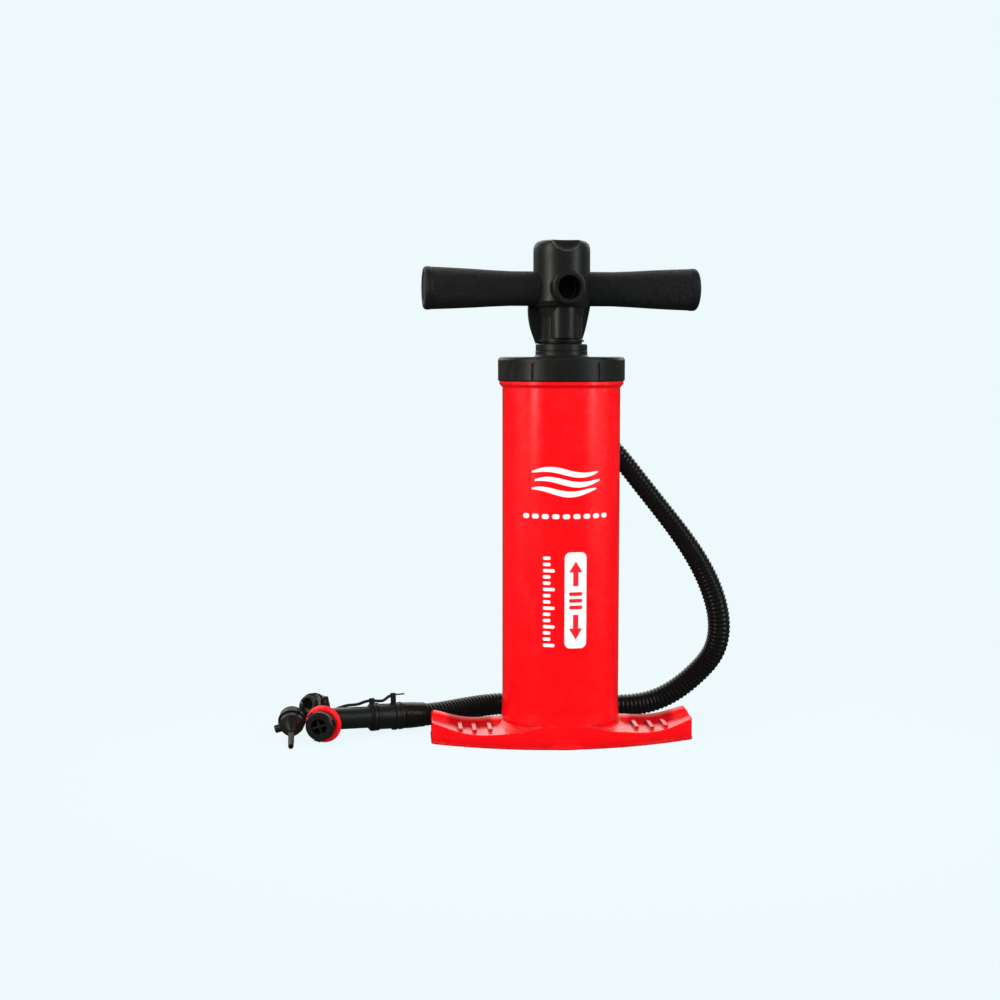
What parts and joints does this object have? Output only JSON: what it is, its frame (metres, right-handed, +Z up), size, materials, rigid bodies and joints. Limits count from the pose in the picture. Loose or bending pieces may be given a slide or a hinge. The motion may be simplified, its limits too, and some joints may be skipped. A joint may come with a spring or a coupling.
{
  "type": "double action hand pump",
  "caption": "Upright double action hand pump: red barrel with foot plates, black T-handle on a hollow rod, corrugated hose with nozzle and tethered adapters.",
  "frame": {"origin": "on the ground, on the barrel's axis", "axes": "+Z up along the barrel, +X along the right foot plate, -Y towards the front with the printed panel and the open port"},
  "size_m": [0.385, 0.1368, 0.4064],
  "materials": {
    "red_plastic": "glossy injection-moulded red plastic",
    "black_plastic": "satin black plastic",
    "grip_rubber": "fine-knurled black rubber",
    "hose_plastic": "glossy black corrugated hose",
    "grey_plastic": "dark grey moulded plastic",
    "seal_rubber": "black sealing rubber",
    "red_rubber": "red rubber gasket",
    "steel": "plain steel pins and screws"
  },
  "bodies": {
    "barrel": {"barrel_base": "red_plastic", "cap": "black_plastic", "cap_gasket": "seal_rubber", "gland_ring": "black_plastic", "rod_wiper": "seal_rubber", "floor_bumper": "seal_rubber"},
    "swivel": {"rod_guide_bush": "grey_plastic", "hose_lower": "hose_plastic", "hose_end_cuff": "hose_plastic", "hose_coupling": "black_plastic", "cable_ties": "black_plastic", "nozzle_elbow": "black_plastic", "adapter_tether": "black_plastic"},
    "handle": {"handle_hub": "black_plastic", "hub_partition": "black_plastic", "left_grip": "grip_rubber", "right_grip": "grip_rubber", "left_end_plug": "black_plastic", "right_end_plug": "black_plastic", "hub_pin": "steel", "rod": "grey_plastic", "rod_pin": "steel", "hose_connector": "black_plastic", "connector_o_ring": "seal_rubber", "hose_upper": "hose_plastic", "piston_body": "grey_plastic", "piston_top_plate": "grey_plastic", "piston_seal": "seal_rubber", "piston_screws": "steel", "valve_cages": "grey_plastic"},
    "lower_intake": {"lower_intake_valve": "seal_rubber"},
    "lower_outlet": {"lower_outlet_valve": "seal_rubber"},
    "upper_intake": {"upper_intake_valve": "seal_rubber"},
    "upper_outlet": {"upper_outlet_valve": "seal_rubber"},
    "bayonet": {"bayonet_adapter": "black_plastic", "bayonet_gasket": "red_rubber"},
    "wide": {"wide_adapter": "black_plastic"},
    "cone": {"cone_nozzle": "black_plastic"}
  },
  "joints": [
    {"name": "handle_swivel", "type": "hinge", "parent": "barrel", "child": "swivel", "pos_m": [0, 0, 0.311], "axis": [0, 0, 1], "range_deg": [-15, 5]},
    {"name": "pump_stroke", "type": "slide", "parent": "swivel", "child": "handle", "axis": [0, 0, 1], "range_m": [0, 0.25]},
    {"name": "lower_intake_lift", "type": "slide", "parent": "handle", "child": "lower_intake", "axis": [0, 0, -1], "range_m": [0, 0.002]},
    {"name": "lower_outlet_lift", "type": "slide", "parent": "handle", "child": "lower_outlet", "axis": [0, 0, 1], "range_m": [0, 0.002]},
    {"name": "upper_intake_lift", "type": "slide", "parent": "handle", "child": "upper_intake", "axis": [0, 0, 1], "range_m": [0, 0.002]},
    {"name": "upper_outlet_lift", "type": "slide", "parent": "handle", "child": "upper_outlet", "axis": [0, 0, -1], "range_m": [0, 0.002]},
    {"name": "bayonet_spin", "type": "hinge", "parent": "swivel", "child": "bayonet", "pos_m": [-0.19451, -0.00902, 0.01537], "axis": [-0.2955, -0.9553, 0], "continuous": true},
    {"name": "wide_adapter_spin", "type": "hinge", "parent": "swivel", "child": "wide", "pos_m": [-0.20504, 0.03117, 0.0196], "axis": [-0.5465, -0.7609, 0.3498], "continuous": true},
    {"name": "cone_nozzle_spin", "type": "hinge", "parent": "swivel", "child": "cone", "pos_m": [-0.22166, 0.00214, 0.0149], "axis": [0.0353, -0.9448, -0.3257], "range_deg": [-60, 30]}
  ]
}
